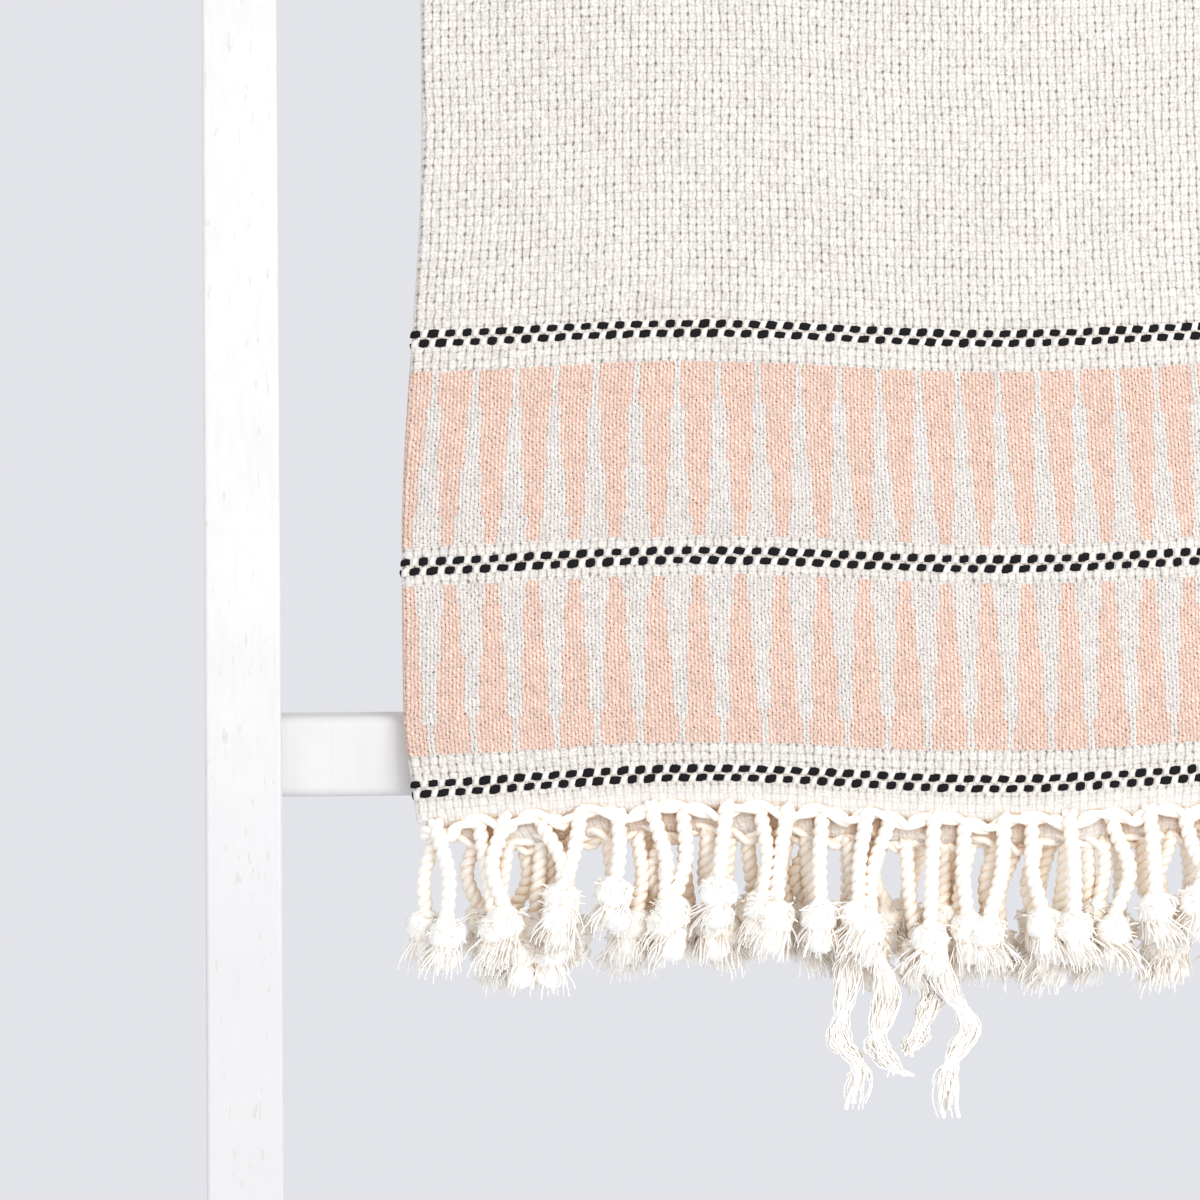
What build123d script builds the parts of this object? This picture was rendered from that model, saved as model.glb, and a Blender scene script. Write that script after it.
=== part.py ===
from build123d import *
import math
import os

# A slim painted ladder that leans on a wall, with a woven throw folded lengthwise over its top rung.
# Millimetres. X runs across the ladder, +Y points to the wall and +Z points up. The origin is on the
# floor, under the middle of the whole object. "Left" is the -X side, seen by someone facing the wall.

# ---- ladder ----
lean_angle = 10.0  # degrees between the rails and upright
ladder_height = 1500.0
inner_width = 416.0  # clear width between the two rails
rail_width = 28.0
rail_depth = 38.0
rail_edge_radius = 1.5

rung_count = 5
first_rung_height = 190.0  # floor to the middle of the lowest rung
rung_pitch = 300.0
rung_height = 30.0
rung_depth = 20.0
rung_edge_radius = 4.0

housing_depth = 4.0  # how far a rung's end sits in the rail
housing_clearance = 0.15

# ---- rung screws and the plugs that cover them ----
screw_diameter = 4.0
screw_length = 40.0
screw_tip = 4.0
screw_head_diameter = 8.0
screw_head_height = 3.0
driver_slot_width = 1.2
driver_slot_depth = 1.4
pilot_clearance = 0.05
screw_hole_diameter = 4.5
plug_diameter = 10.0
plug_length = 7.5
plug_clearance = 0.05
plug_gap = 0.5  # air between a screw head and its plug

# ---- feet and wall pads ----
foot_thickness = 4.0
foot_inset = 1.0
foot_corner_radius = 2.0
foot_screw_diameter = 3.0
foot_screw_length = 20.0
foot_screw_tip = 3.0
foot_screw_head_diameter = 6.0
foot_screw_head_height = 1.5
foot_screw_recess = 0.3  # from the floor up to the screw head
foot_screw_hole_diameter = 3.4
wall_cut_height = 95.0  # upright cut at the back of each rail's top
wall_pad_width = 24.0
wall_pad_height = 75.0
wall_pad_thickness = 3.0

# ---- throw ----
throw_width = 320.0  # folded in three from a flat width of three times this
flat_length = 1800.0  # hem to hem
layer_thickness = 3.0  # one layer of cloth with the air beside it
layer_count = 3
throw_clearance = 0.4
hem_below_rung = 8.0  # the front hem hangs this far below the second rung
front_hem_rung = 2
flap_drop = 8.0  # the two folded-in flaps hang this much lower than the outer layer
flap_setback = 2.0  # air between the outer hem and the flaps that hang below it

# ---- hem cords and fringe ----
hem_cord_diameter = 1.9
hem_cord_inset = 2.0
tassel_count = 24
tassel_gap = 0.5  # keeps a tassel clear of the hem cord of the layer behind it
tassel_cord_radius = 1.5
tassel_cord_length = 36.0
tassel_knot_radius = 3.1
tassel_tuft_length = 12.0
tassel_tuft_radius = 1.4
tassel_row_step = 9.0  # the right flap's knots hang this much lower than the left flap's
front_splay = 8.0  # degrees that the front outer row leans out over the flaps

# ---- worked out from the sizes above ----
lean_sin = math.sin(math.radians(lean_angle))
lean_cos = math.cos(math.radians(lean_angle))
lean_tan = lean_sin / lean_cos
rail_level_depth = rail_depth / lean_cos  # a rail's depth along a level cut
outer_width = inner_width + 2 * rail_width
cut_face_y = (ladder_height - wall_cut_height) * lean_tan + rail_level_depth / 2
rung_heights = [first_rung_height + rung_pitch * i for i in range(rung_count)]
seat_x = outer_width / 2 - plug_length - plug_gap - screw_head_height  # where rung screw heads bear
throw_thickness = layer_thickness * layer_count
corner_reach = rung_edge_radius + throw_clearance  # rung corner's centre to the cloth's inner face


def from_ladder_plane(depth, run):
    """Y and Z of a point given by its depth through the ladder and its run up along the rails."""
    return depth * lean_cos + run * lean_sin, run * lean_cos - depth * lean_sin


def leaning(shape):
    return Rot(-lean_angle, 0, 0) * shape


def rung_bar(length, grow=0.0):
    """A level bar along X with the rungs' rounded section, grown all round by a clearance."""
    bar = Box(length, rung_depth + 2 * grow, rung_height + 2 * grow)
    return fillet(bar.edges().filter_by(Axis.X), rung_edge_radius + grow)


def along_x(shape, side):
    """Turns a shape made along +Z so that it runs along X, outwards on the given side."""
    return Rot(0, 90 * side, 0) * shape


def rod(radius, start, end):
    return Pos(0, 0, (start + end) / 2) * Cylinder(radius, end - start)


def rung_screw():
    """A wood screw along +Z: its head stands on Z = 0 and its shank runs down from there."""
    shank_end = screw_tip - screw_length
    radius = screw_diameter / 2
    tip = Pos(0, 0, shank_end - screw_tip / 2) * Cone(radius / 4, radius, screw_tip)
    head = rod(screw_head_diameter / 2, 0, screw_head_height)
    slot_middle = screw_head_height - driver_slot_depth / 2
    slot = Pos(0, 0, slot_middle) * Box(screw_head_diameter, driver_slot_width, driver_slot_depth)
    return rod(radius, shank_end, 0) + tip + head - slot


def screw_bore():
    """What a rung screw and its plug take out of a rail, in the screw's own place."""
    head_room = outer_width / 2 - seat_x
    return rod(screw_hole_diameter / 2, -rail_width, 0) + rod(plug_diameter / 2, 0, head_room)


def at_rung(shape, side, height, x):
    return Pos(side * x, height * lean_tan, height) * along_x(shape, side)


def rail(side):
    run = ladder_height / lean_cos
    blank = Box(rail_width, rail_depth, run + 2 * rail_depth)
    blank = fillet(blank.edges().filter_by(Axis.Z), rail_edge_radius)
    blank = leaning(Pos(side * (inner_width + rail_width) / 2, 0, run / 2) * blank)
    reach = ladder_height
    kept_height = ladder_height - foot_thickness
    kept = Box(2 * outer_width, reach, kept_height, align=(Align.CENTER, Align.MAX, Align.MIN))
    body = blank & (Pos(0, cut_face_y, foot_thickness) * kept)
    for height in rung_heights:
        at_centre = Pos(side * inner_width / 2, height * lean_tan, height)
        body -= at_centre * rung_bar(2 * housing_depth, housing_clearance)
        body -= at_rung(screw_bore(), side, height, seat_x)
    foot_pilot = rod(foot_screw_diameter / 2 + pilot_clearance, 0, foot_screw_recess + foot_screw_length + 3)
    return body - Pos(side * foot_x, foot_y, 0) * foot_pilot


def rung(height):
    length = inner_width + 2 * (housing_depth - housing_clearance)
    bar = Pos(0, height * lean_tan, height) * rung_bar(length)
    pilot = rod(screw_diameter / 2 + pilot_clearance, -screw_length - 1, 0)
    for side in (-1, 1):
        bar -= at_rung(pilot, side, height, seat_x)
    return bar


def rung_screws(side):
    return Compound([at_rung(rung_screw(), side, height, seat_x) for height in rung_heights])


def plugs(side):
    start = outer_width / 2 - plug_length
    plug = rod(plug_diameter / 2 - plug_clearance, 0, plug_length)
    return Compound([at_rung(plug, side, height, start) for height in rung_heights])


foot_x = (inner_width + rail_width) / 2
foot_y = foot_thickness * lean_tan
foot_head_top = foot_screw_recess + foot_screw_head_height


def foot(side):
    width = rail_width - 2 * foot_inset
    length = rail_level_depth - 2 * foot_inset
    pad = Pos(0, 0, foot_thickness / 2) * Box(width, length, foot_thickness)
    pad = fillet(pad.edges().filter_by(Axis.Z), foot_corner_radius)
    pad -= rod(foot_screw_head_diameter / 2 + 0.5, 0, foot_head_top)
    pad -= rod(foot_screw_hole_diameter / 2, 0, foot_thickness)
    return Pos(side * foot_x, foot_y, 0) * pad


def foot_screw(side):
    radius = foot_screw_diameter / 2
    end = foot_screw_recess + foot_screw_length
    head = rod(foot_screw_head_diameter / 2, foot_screw_recess, foot_head_top)
    tip = Pos(0, 0, end - foot_screw_tip / 2) * Cone(radius, radius / 4, foot_screw_tip)
    return Pos(side * foot_x, foot_y, 0) * (head + rod(radius, foot_head_top, end - foot_screw_tip) + tip)


def wall_pad(side):
    pad = Box(wall_pad_width, wall_pad_thickness, wall_pad_height)
    pad = fillet(pad.edges().filter_by(Axis.Y), foot_corner_radius)
    middle = ladder_height - wall_cut_height / 2
    return Pos(side * foot_x, cut_face_y + wall_pad_thickness / 2, middle) * pad


# ---- where the throw lies, in depth through the ladder and run up the rails ----
top_rung_y = rung_heights[-1] * lean_tan
corner_z = rung_heights[-1] + rung_height / 2 - rung_edge_radius
front_corner_y = top_rung_y - rung_depth / 2 + rung_edge_radius
back_corner_y = top_rung_y + rung_depth / 2 - rung_edge_radius
front_corner_depth = front_corner_y * lean_cos - corner_z * lean_sin
front_corner_run = front_corner_y * lean_sin + corner_z * lean_cos
front_inner_depth = front_corner_depth - corner_reach
front_outer_depth = front_inner_depth - throw_thickness
hem_height = rung_heights[front_hem_rung - 1] - rung_height / 2 - hem_below_rung
hem_run = (hem_height + front_outer_depth * lean_sin) / lean_cos

middle_reach = corner_reach + throw_thickness / 2
over_rung = middle_reach * math.radians(180 - lean_angle) + back_corner_y - front_corner_y
back_hem_z = corner_z - (flat_length - over_rung - (front_corner_run - hem_run))
back_inner_y = back_corner_y + corner_reach


def across(face):
    """A solid as wide as the folded throw from a face in the Y-Z plane."""
    return extrude(face, amount=throw_width / 2, both=True)


def stepped_drop(outer, inner, hem, top):
    """Outline of a hanging drop whose outer layer ends above the two flaps behind it."""
    step = outer + math.copysign(layer_thickness + flap_setback, inner - outer)
    return [(outer, hem), (step, hem), (step, hem - flap_drop), (inner, hem - flap_drop), (inner, top), (outer, top)]


def throw_front():
    outline = stepped_drop(front_outer_depth, front_inner_depth, hem_run, front_corner_run)
    points = [from_ladder_plane(depth, run) for depth, run in outline]
    return across(make_face(Plane.YZ * Polyline(*points, close=True)))


def throw_back():
    outline = stepped_drop(back_inner_y + throw_thickness, back_inner_y, back_hem_z, corner_z)
    return across(make_face(Plane.YZ * Polyline(*outline, close=True)))


def round_corner(y, radius, start, end):
    """An arc round one of the top rung's upper corners."""
    return CenterArc((y, corner_z), radius, start, end - start)


def throw_saddle():
    front_angle = 180 - lean_angle
    loops = []
    for radius in (corner_reach, corner_reach + throw_thickness):
        front = round_corner(front_corner_y, radius, front_angle, 90)
        back = round_corner(back_corner_y, radius, 90, 0)
        loops.append((front, Line(front @ 1, back @ 0), back))
    (inner_front, _, inner_back), (outer_front, _, outer_back) = loops
    ends = (Line(inner_front @ 0, outer_front @ 0), Line(inner_back @ 1, outer_back @ 1))
    return across(make_face(Plane.YZ * Curve([*loops[0], *loops[1], *ends])))


def layer_places(front):
    """Y and Z of the hem cord's middle on the outer layer and the two flaps, at one end of the throw."""
    flap_room = (throw_thickness - layer_thickness - flap_setback) / 2
    first_flap = layer_thickness + flap_setback + flap_room / 2
    places = []
    for into, drop in (
        (layer_thickness / 2, 0.0),
        (first_flap, flap_drop),
        (first_flap + flap_room, flap_drop),
    ):
        if front:
            places.append(from_ladder_plane(front_outer_depth + into, hem_run - drop - hem_cord_diameter / 2))
        else:
            outer_y = back_inner_y + throw_thickness
            places.append((outer_y - into, back_hem_z - drop - hem_cord_diameter / 2))
    return places


def hem_cord(front):
    length = throw_width - 2 * hem_cord_inset
    bar = along_x(Cylinder(hem_cord_diameter / 2, length), 1)
    return Compound([Pos(0, y, z) * bar for y, z in layer_places(front)])


def tassel(cord_length):
    """A fringe cord that hangs from Z = 0, with its knot and the loose ends below it."""
    knot = tassel_knot_radius
    knot_top = -cord_length
    tuft_top = knot_top - 2 * knot
    outline = [
        (0, 0),
        (tassel_cord_radius, 0),
        (tassel_cord_radius, knot_top),
        (knot, knot_top - knot * 0.6),
        (knot, knot_top - knot * 1.4),
        (tassel_cord_radius, tuft_top),
        (tassel_tuft_radius, tuft_top - tassel_tuft_length),
        (0, tuft_top - tassel_tuft_length),
    ]
    return revolve(make_face(Plane.XZ * Polyline(*outline, close=True)), Axis.Z)


def fringe(front, layer):
    pitch = (throw_width - 2 * hem_cord_inset) / tassel_count
    stagger = pitch * layer / layer_count
    y, z = layer_places(front)[layer]
    one = tassel(tassel_cord_length + tassel_row_step * max(layer - 1, 0))
    first = hem_cord_inset - throw_width / 2 + pitch / (2 * layer_count) + stagger
    if front and layer == 0:
        one = Rot(-front_splay, 0, 0) * one
    hung = z - hem_cord_diameter / 2 - tassel_gap
    return Compound([Pos(first + pitch * i, y, hung) * one for i in range(tassel_count)])


def all_pieces():
    pieces = {}
    for side, name in ((-1, "left"), (1, "right")):
        pieces[f"{name}_rail"] = rail(side)
        pieces[f"{name}_rung_screws"] = rung_screws(side)
        pieces[f"{name}_screw_plugs"] = plugs(side)
        pieces[f"{name}_foot_pad"] = foot(side)
        pieces[f"{name}_wall_pad"] = wall_pad(side)
    for number, height in enumerate(rung_heights, 1):
        pieces[f"rung_{number}"] = rung(height)
    pieces["foot_pad_screws"] = Compound([foot_screw(-1), foot_screw(1)])
    pieces["throw_front_drop"] = throw_front()
    pieces["throw_saddle"] = throw_saddle()
    pieces["throw_back_drop"] = throw_back()
    for front, end in ((True, "front"), (False, "back")):
        pieces[f"{end}_hem_cord"] = hem_cord(front)
        for layer, layer_name in enumerate(("outer", "left_flap", "right_flap")):
            pieces[f"{end}_fringe_{layer_name}"] = fringe(front, layer)
    return pieces


def middle_of(boxes):
    """The point on the lowest level, under the middle of all the boxes together."""
    x = (min(b.min.X for b in boxes) + max(b.max.X for b in boxes)) / 2
    y = (min(b.min.Y for b in boxes) + max(b.max.Y for b in boxes)) / 2
    return Vector(x, y, min(b.min.Z for b in boxes))


made = all_pieces()
origin = middle_of([piece.bounding_box() for piece in made.values()])
os.makedirs("parts", exist_ok=True)
for node, piece in made.items():
    export_step(Pos(*(-origin)) * piece, f"parts/{node}.step")
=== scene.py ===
"""A slim painted ladder that leans on a wall, with a fringed cotton throw folded over its top rung.

Metres, in the CAD model's frame: X across the ladder, +Y to the wall, +Z up.
"""
import math

import bpy
import numpy as np
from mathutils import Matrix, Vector


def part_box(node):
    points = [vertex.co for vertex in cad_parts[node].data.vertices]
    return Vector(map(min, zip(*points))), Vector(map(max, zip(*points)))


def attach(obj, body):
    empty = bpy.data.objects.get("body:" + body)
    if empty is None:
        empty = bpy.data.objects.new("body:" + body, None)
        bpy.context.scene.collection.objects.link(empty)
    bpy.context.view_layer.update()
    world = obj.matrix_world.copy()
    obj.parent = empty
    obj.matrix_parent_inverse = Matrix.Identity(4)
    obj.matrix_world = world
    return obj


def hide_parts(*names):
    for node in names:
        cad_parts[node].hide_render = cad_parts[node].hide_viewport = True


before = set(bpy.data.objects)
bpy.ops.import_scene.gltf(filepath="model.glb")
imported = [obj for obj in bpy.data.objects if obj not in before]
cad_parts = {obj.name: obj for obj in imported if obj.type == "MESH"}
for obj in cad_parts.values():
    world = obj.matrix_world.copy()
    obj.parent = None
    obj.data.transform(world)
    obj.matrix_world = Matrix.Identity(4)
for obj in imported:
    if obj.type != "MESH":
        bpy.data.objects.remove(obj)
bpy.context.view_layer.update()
MM = 0.001
FAR = 9.0  # beyond every piece

# ---- the ladder, read from the frame ----
RUNG_EDGE = 4.0 * MM  # rounding along the rungs
CLOTH_GAP = 0.4 * MM  # air between the rungs and the cloth


def middle(node):
    low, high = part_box(node)
    return (low + high) / 2


def size(node):
    low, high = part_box(node)
    return high - low


RUNGS = [middle(f"rung_{number}") for number in range(1, 6)]
RUNG_SIZE = size("rung_5")
LEAN = math.atan2(RUNGS[4].y - RUNGS[0].y, RUNGS[4].z - RUNGS[0].z)
SIN, COS = math.sin(LEAN), math.cos(LEAN)
WALL_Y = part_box("left_wall_pad")[1].y

# ---- the throw ----
FOLDED_WIDTH = size("throw_saddle").x
CLOTH_LENGTH = 1.8
CLOTH_THICK = 1.4 * MM
LAYER = 3.0 * MM  # from one layer of the fold to the next
SHORT_OF_FOLD = 12.0 * MM  # each flap's selvedge stops this far short of the other fold
HEM_TUCK = 1.5 * MM  # the cloth's edge under the CAD hem line
FLAP_DROP = 8.0 * MM  # the folded-in flaps slip this far below the face
ARCH_RISE = 2.9 * MM  # half the height of the waves in the hem
ARCH_PITCH = 235.0 * MM  # from one wave to the next
ARCH_TOP = -57.0 * MM  # where across the throw one wave is highest
BACK_SKEW = 10.0 * MM  # the back drop's hem sits this far to the right
SAGS = (0.0, 4.0 * MM, 2.5 * MM, 1.5 * MM)  # between one rung and the next, from the lowest pair

# ---- the weave, in distances from the hem ----
CELL = 3.2 * MM  # one basket cell, two yarns by two
END = 1.379 * MM  # yarn spacing across the plain-woven zones
PICK = 1.13 * MM  # and along them
BANDS = (14.2 * MM, 96.0 * MM, 181.5 * MM)  # middles of the black bands
ROW_STEP = 3.6 * MM  # between a band's two rows
DASH_PITCH = 2 * CELL
DASH = (3.9 * MM, 2.8 * MM, 1.1 * MM)  # a black float across, up and out
PALE_DASH = (2.3 * MM, 3.2 * MM, 0.9 * MM)  # and a natural one between two black ones
PLAIN_LOW, PLAIN_HIGH = 26.2 * MM, 168.8 * MM  # the peach zones reach from here to here
BAND_MARGIN = 7.4 * MM  # and stop this far from the middle band
COLUMN_PITCH = 11 * END
COLUMN_STEPS = (57.4 * MM, 34.4 * MM, 16.6 * MM)  # where a white spike widens, from the middle band
SPIKE_HALVES = (1.2 * MM, 1.5 * MM, 1.15 * MM, 1.25 * MM)  # its first half width and what each step adds

# ---- the fringe ----
TASSELS = 24  # on each layer
PLY = 1.7 * MM
PLY_APART = 0.8  # how far each ply's middle lies from the cord's, in ply radii
TWIST_PITCH = 7.6 * MM
CORD_LENGTH = 35.0 * MM
CORD_LENGTHS = (0.76, 1.2)  # shortest and longest, as shares of it
HEM_PLY = 1.55 * MM
HEM_TWIST_PITCH = 22.0 * MM
KNOT_RADIUS = 5.2 * MM
KNOT_PLY = 2.2 * MM
KNOT_TWIST_PITCH = 8.5 * MM
TUFT_LENGTH = 11.0 * MM
SCALLOPS = 36  # arcs of the twined edge, about one for two tassels
TAIL_DEPTHS = (-5, -7, -6, -1)  # each tail's place in Y from the hem, in millimetres
# Loose yarn tails, in millimetres: sideways and down from the hem's middle.
TAILS = (
    ((0, 46), (1, 59), (-2, 74), (-4, 84), (4, 90), (6, 97), (2, 109)),
    ((9, 45), (16, 62), (12, 77), (10, 84), (16, 92), (21, 96)),
    ((36, 46), (36, 62), (48, 75), (42, 84), (37, 93), (38, 110)),
    ((34, 48), (33, 66), (27, 80), (23, 88)),
)


# ======================================================================= node building

class Value:
    """A socket that takes part in Python arithmetic: each operation adds a Math node."""

    def __init__(self, graph, socket):
        self.graph = graph
        self.socket = socket

    def __add__(self, other):
        return self.graph.maths("ADD", self, other)

    __radd__ = __add__

    def __sub__(self, other):
        return self.graph.maths("SUBTRACT", self, other)

    def __rsub__(self, other):
        return self.graph.maths("SUBTRACT", other, self)

    def __mul__(self, other):
        return self.graph.maths("MULTIPLY", self, other)

    __rmul__ = __mul__

    def __truediv__(self, other):
        return self.graph.maths("DIVIDE", self, other)

    def __pow__(self, other):
        return self.graph.maths("POWER", self, other)

    def __abs__(self):
        return self.graph.maths("ABSOLUTE", self)

    def __gt__(self, other):
        return self.graph.maths("GREATER_THAN", self, other)

    def __lt__(self, other):
        return self.graph.maths("LESS_THAN", self, other)

    def whole(self):
        return self.graph.maths("FLOOR", self)

    def part(self):
        return self.graph.maths("FRACT", self)

    def at_most(self, other):
        return self.graph.maths("MINIMUM", self, other)

    def at_least(self, other):
        return self.graph.maths("MAXIMUM", self, other)

    def sine(self):
        return self.graph.maths("SINE", self)

    def cosine(self):
        return self.graph.maths("COSINE", self)


def find(sockets, key):
    """A socket by place, identifier or name, of those that are in use."""
    if isinstance(key, int):
        return sockets[key]
    used = [s for s in sockets if s.enabled]
    return next((s for s in used if s.identifier == key), None) or next(s for s in used if s.name == key)


class Graph:
    """Adds nodes to a node tree. Numbers, tuples, datablocks and Values are given to sockets alike."""

    def __init__(self, tree):
        self.tree = tree

    def node(self, kind, settings=None, sockets=None, out=0):
        made = self.tree.nodes.new(kind)
        for name, setting in (settings or {}).items():
            if name == "stops":
                self.set_stops(made.color_ramp, setting)
            else:
                setattr(made, name, setting)
        for key, value in (sockets or {}).items():
            self.give(find(made.inputs, key), value)
        return Value(self, find(made.outputs, out)) if len(made.outputs) else made

    @staticmethod
    def set_stops(ramp, stops):
        for place, colour in stops[2:]:
            ramp.elements.new(place).color = colour
        for element, (place, colour) in zip(ramp.elements, sorted(stops)):
            element.position, element.color = place, colour

    def give(self, socket, value):
        if isinstance(value, list):
            for one in value:
                self.tree.links.new(one.socket, socket)
        elif isinstance(value, Value):
            self.tree.links.new(value.socket, socket)
        else:
            socket.default_value = value

    def maths(self, operation, *values):
        return self.node("ShaderNodeMath", {"operation": operation}, dict(enumerate(values)))

    def vector(self, operation, *values, out=0):
        return self.node("ShaderNodeVectorMath", {"operation": operation}, dict(enumerate(values)), out)

    def scaled(self, vector, by):
        return self.node("ShaderNodeVectorMath", {"operation": "SCALE"}, {"Vector": vector, "Scale": by})

    def joined(self, x, y, z=0.0):
        return self.node("ShaderNodeCombineXYZ", None, {"X": x, "Y": y, "Z": z})

    def ramp(self, value, low, high):
        """0 below low, 1 above high and smooth between."""
        sockets = {"Value": value, "From Min": low, "From Max": high}
        return self.node("ShaderNodeMapRange", {"interpolation_type": "SMOOTHSTEP"}, sockets)


class Finish(Graph):
    """A material: a Principled surface whose constants stand on its own sockets."""

    def __init__(self, name, **constants):
        self.material = bpy.data.materials.new(name)
        self.material.use_nodes = True
        super().__init__(self.material.node_tree)
        self.surface = self.tree.nodes["Principled BSDF"]
        for key, value in constants.items():
            self.surface.inputs[key.replace("_", " ").title().replace("Ior", "IOR")].default_value = value

    def feed(self, name, value):
        self.give(self.surface.inputs[name], value)

    def mix(self, share, first, second):
        """Colours and vectors alike, as a share of the second over the first."""
        sockets = {"Factor_Float": share, "A_Color": first, "B_Color": second}
        return self.node("ShaderNodeMix", {"data_type": "RGBA"}, sockets, "Result_Color")

    def shade(self, colour, by):
        """A colour times a value."""
        return self.scaled(colour, by)

    def place(self, scale=(1, 1, 1), turn=(0, 0, 0)):
        """Object coordinates, scaled and turned."""
        spot = self.node("ShaderNodeTexCoord", out="Object")
        return self.node("ShaderNodeMapping", None, {"Vector": spot, "Rotation": turn, "Scale": scale})

    def noise(self, where, scale, detail=2.0, roughness=0.5):
        sockets = {"Vector": where, "Scale": scale, "Detail": detail, "Roughness": roughness}
        return self.node("ShaderNodeTexNoise", None, sockets, "Fac")

    def drift(self, where, scale, reach):
        """A small wandering shift of a flat place."""
        sockets = {"Vector": where, "Scale": scale, "Detail": 1.0}
        colour = self.node("ShaderNodeTexNoise", None, sockets, "Color")
        return self.scaled(self.vector("SUBTRACT", colour, (0.5, 0.5, 0.5)), reach)

    def parts(self, vector):
        split = self.node("ShaderNodeSeparateXYZ", None, {"Vector": vector}, "X")
        return split, Value(self, split.socket.node.outputs["Y"])

    def blend(self, share, first, second):
        """Plain values, as a share of the second over the first."""
        return first + (second - first) * share

    def shelter(self, reach):
        """1 where a surface is open and 0 where it is closely sheltered, which the finishes use to paint
        shade into colour.
        """
        return self.node("ShaderNodeAmbientOcclusion", {"samples": 4}, {"Distance": reach}, "AO")

    def speckle(self, where):
        """A different value for each whole-numbered place."""
        return self.node("ShaderNodeTexWhiteNoise", None, {"Vector": where}, "Value")

    def bump(self, height, depth, strength=1.0):
        sockets = {"Height": height, "Distance": depth, "Strength": strength}
        self.feed("Normal", self.node("ShaderNodeBump", None, sockets))


def linear(red, green, blue):
    """A display colour, 0 to 255, as the linear colour that a socket takes."""
    def one(value):
        value /= 255
        return value / 12.92 if value <= 0.04045 else ((value + 0.055) / 1.055) ** 2.4
    return (one(red), one(green), one(blue), 1.0)


# ============================================================================ finishes

def painted_wood():
    """Brushed white paint with faint grain, fine scratches along the wood, and painted shade that greys it
    lower down.
    """
    made = Finish("brushed_white_paint", roughness=0.42, specular_ior_level=0.45)
    along = made.place(turn=(LEAN, 0, 0))
    strokes = made.noise(made.place((420, 420, 9), (LEAN, 0, 0)), 1.0, 3.0, 0.6)
    grain = made.noise(made.place((90, 90, 3.5), (LEAN, 0, 0)), 1.0, 4.0, 0.65)
    mottle = made.noise(along, 22.0, 4.0, 0.6)
    scratch = made.ramp(made.noise(made.place((700, 700, 14), (LEAN, 0.06, 0)), 1.0, 1.0), 0.69, 0.74)
    worn = made.mix(made.ramp(mottle, 0.35, 0.75) * 0.5, linear(229, 229, 228), linear(219, 217, 215))
    streaked = made.mix(made.ramp(strokes, 0.3, 0.8) * 0.25, worn, linear(208, 206, 204))
    # Painted shade: the paint greys towards the floor, standing in for the light that falls off lower down.
    height = made.node("ShaderNodeSeparateXYZ", None, {"Vector": made.place()}, "Z")
    shaded_low = made.mix(made.ramp(height, 0.58, 0.4) * 0.55, streaked, linear(208, 208, 211))
    made.feed("Base Color", made.mix(scratch * 0.35, shaded_low, linear(190, 182, 172)))
    made.feed("Roughness", 0.36 + 0.2 * mottle)
    made.bump(strokes * 0.6 + grain * 0.8 - scratch * 0.5, 0.12 * MM, 0.5)
    return made.material


def plain_metal():
    """Bright zinc with a fine drawn texture."""
    made = Finish("bright_zinc", metallic=1.0, roughness=0.34)
    dull = made.noise(made.place(), 900.0, 3.0)
    made.feed("Base Color", made.mix(dull, linear(196, 199, 203), linear(160, 163, 168)))
    made.feed("Roughness", 0.25 + 0.25 * dull)
    made.bump(dull, 0.02 * MM)
    return made.material


def grey_rubber():
    made = Finish("grey_rubber", roughness=0.8, specular_ior_level=0.3)
    grit = made.noise(made.place(), 2600.0, 2.0)
    cloud = made.noise(made.place(), 60.0, 3.0)
    made.feed("Base Color", made.mix(cloud, linear(84, 84, 86), linear(104, 103, 102)))
    made.feed("Roughness", 0.7 + 0.2 * grit)
    made.bump(grit, 0.05 * MM, 0.6)
    return made.material


def hump(part):
    """1 in the middle of a yarn and 0 at its sides, for a place across it from 0 to 1."""
    off = part * 2 - 1
    return 1 - off * off


def rim(part, power):
    """0 in the middle of a yarn or a cell and 1 at its sides."""
    return abs(part * 2 - 1) ** power


def basket(made, u, v):
    """Crown, seam and pinhole masks of a weave of two yarns by two, for its relief and for its painted
    highlight and shade.
    """
    across, along = u / CELL, v / CELL
    warp_up = ((across.whole() + along.whole()) / 2).part() * 2
    part_u, part_v = across.part(), along.part()
    pair_u, pair_v = (part_u * 2).part(), (part_v * 2).part()
    warp = (0.4 + 0.6 * hump(pair_u)) * (0.4 + 0.6 * hump(part_v))
    weft = (0.6 + 0.4 * hump(pair_v)) * (0.3 + 0.7 * hump(part_u))
    crown = warp * warp_up + weft * 0.95 * (1 - warp_up)
    luck = made.speckle(made.joined((across + 0.5).whole(), (along + 0.5).whole()))
    less = made.speckle(made.joined((across + 0.5).whole(), (along * 2 + 0.5).whole(), 7.0))
    side = rim(part_u, 4)
    seam = side * side * (0.12 + 0.38 * less) + rim(part_v, 9) * 0.12 * less + rim(pair_u, 6) * warp_up * 0.14
    pinhole = side * (rim(part_v, 2.5) * (0.3 + 0.95 * luck) + 0.42 * less * less)
    return crown, seam, pinhole


def plain(made, u, v):
    """The same for single yarns, over and under: long crowns in staggered columns."""
    across = u / END
    column = across.whole()
    off_u = across.part() - 0.5
    off_v = ((v / PICK + column) / 2).part() - 0.5
    crown = 1 - (off_u / 0.42) ** 2 - (off_v / 0.4) ** 2
    side = (off_u > 0.0) * 2 - 1
    beside = (abs(off_u) - 0.5) / 0.2
    luck = made.speckle(made.joined((across + 0.5).whole(), (v / PICK / 2).whole(), 3.0))
    pinhole = (1 - beside ** 2 - ((off_v * side - 0.25) / 0.17) ** 2) * (0.25 + 1.5 * luck)
    seam = (1 - beside ** 2) * 0.55
    return crown.at_least(0.0), seam.at_least(0.0), pinhole.at_least(0.0)


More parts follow.
